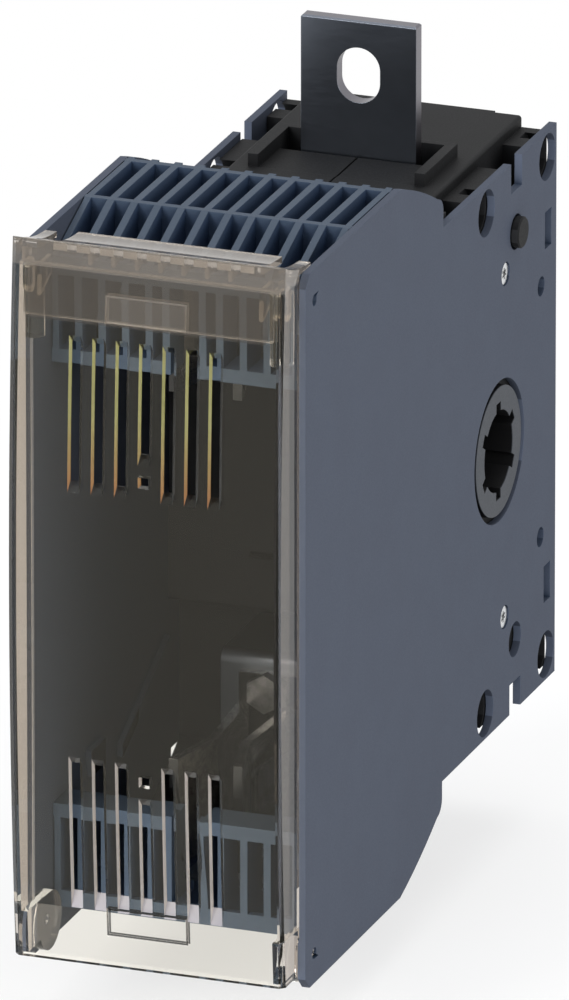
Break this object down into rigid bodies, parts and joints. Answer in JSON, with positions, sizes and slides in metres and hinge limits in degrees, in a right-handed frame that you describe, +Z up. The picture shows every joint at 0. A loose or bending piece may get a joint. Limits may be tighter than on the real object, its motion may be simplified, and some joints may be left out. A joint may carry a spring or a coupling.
{
  "type": "fuse switch disconnector pole",
  "caption": "Flat pole of a fuse switch disconnector: rotary drive, two screw lugs, forked fuse contacts, vent grilles and a hinged clear cover over the fuse bay.",
  "frame": {"origin": "middle of the rear mounting face, level with the drive axis and midway between the side plates", "axes": "+X to the right across the pole's width, +Y into the mounting surface, +Z up along the pole from the lower lug to the upper lug"},
  "size_m": [0.0696, 0.1783, 0.1966],
  "materials": {
    "side_plate": "satin blue-grey moulding",
    "base": "black moulding",
    "grille": "satin blue-grey moulding",
    "hub": "dark moulding",
    "silvered_copper": "silvered copper, rolled",
    "contact_copper": "plated copper alloy",
    "spring_steel": "bare steel",
    "zinc_steel": "zinc plated",
    "smoked_clear": "smoked clear polycarbonate"
  },
  "bodies": {
    "pole": {"side_plate_left": "side_plate", "side_plate_right": "side_plate", "base_half_left": "base", "base_half_right": "base", "grille_upper": "grille", "grille_lower": "grille", "terminal_upper": "silvered_copper", "terminal_lower": "silvered_copper", "fuse_bar_upper": "silvered_copper", "fuse_bar_lower": "silvered_copper", "fuse_contact_upper": "contact_copper", "fuse_contact_lower": "contact_copper", "contact_springs_upper": "spring_steel", "contact_springs_lower": "spring_steel", "contact_screws_upper": "zinc_steel", "contact_screws_lower": "zinc_steel", "quench_plates_upper": "spring_steel", "quench_plates_lower": "spring_steel", "plate_screws": "zinc_steel", "dowel_left": "base", "dowel_right": "base"},
    "rotor": {"drive_hub": "hub", "moving_blade_upper": "contact_copper", "moving_blade_lower": "contact_copper"},
    "cover": {"fuse_cover": "smoked_clear"}
  },
  "joints": [
    {"name": "rotor_turn", "type": "hinge", "parent": "pole", "child": "rotor", "pos_m": [0, -0.0378, 0], "axis": [1, 0, 0], "range_deg": [0, 90]},
    {"name": "cover_hinge", "type": "hinge", "parent": "pole", "child": "cover", "pos_m": [0, -0.159, -0.0763], "axis": [1, 0, 0], "range_deg": [0, 90]}
  ]
}
